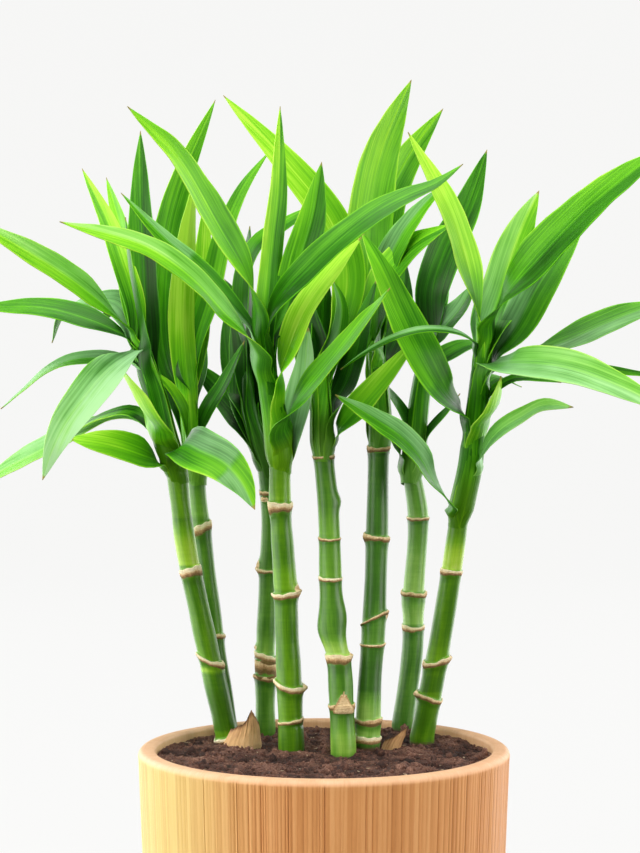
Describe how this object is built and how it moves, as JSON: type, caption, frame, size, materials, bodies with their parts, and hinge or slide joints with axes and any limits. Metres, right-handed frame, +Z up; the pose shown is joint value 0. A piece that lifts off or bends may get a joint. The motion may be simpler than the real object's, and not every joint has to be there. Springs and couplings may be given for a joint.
{
  "type": "potted lucky bamboo",
  "caption": "Lucky bamboo: ringed green canes topped with long pointed leaves, standing in dark soil in a round, finely ribbed wooden pot.",
  "frame": {"origin": "centre of the pot's flat base, on the surface that it stands on", "axes": "+Z up through the pot's rim to the leaf tips; -Y towards the front of the plant, +X to its right"},
  "size_m": [0.3336, 0.2452, 0.4396],
  "materials": {
    "pot_wood": "satin, fine upright ribs",
    "soil": "matt, crumbly",
    "cane_green": "waxy, with tan rings",
    "leaf_green": "waxy semi-gloss",
    "dry_husk": "matt, fibrous"
  },
  "bodies": {
    "root": {"pot": "pot_wood", "soil": "soil", "cane_1": "cane_green", "cane_2": "cane_green", "cane_3": "cane_green", "cane_4": "cane_green", "cane_5": "cane_green", "cane_6": "cane_green", "cane_7": "cane_green", "cane_8": "cane_green", "shoot_1": "leaf_green", "shoot_2": "leaf_green", "shoot_3": "leaf_green", "shoot_4": "leaf_green", "shoot_5": "leaf_green", "shoot_6": "leaf_green", "shoot_7": "leaf_green", "shoot_8": "leaf_green", "dry_husk_1": "dry_husk", "dry_husk_2": "dry_husk"}
  },
  "joints": []
}
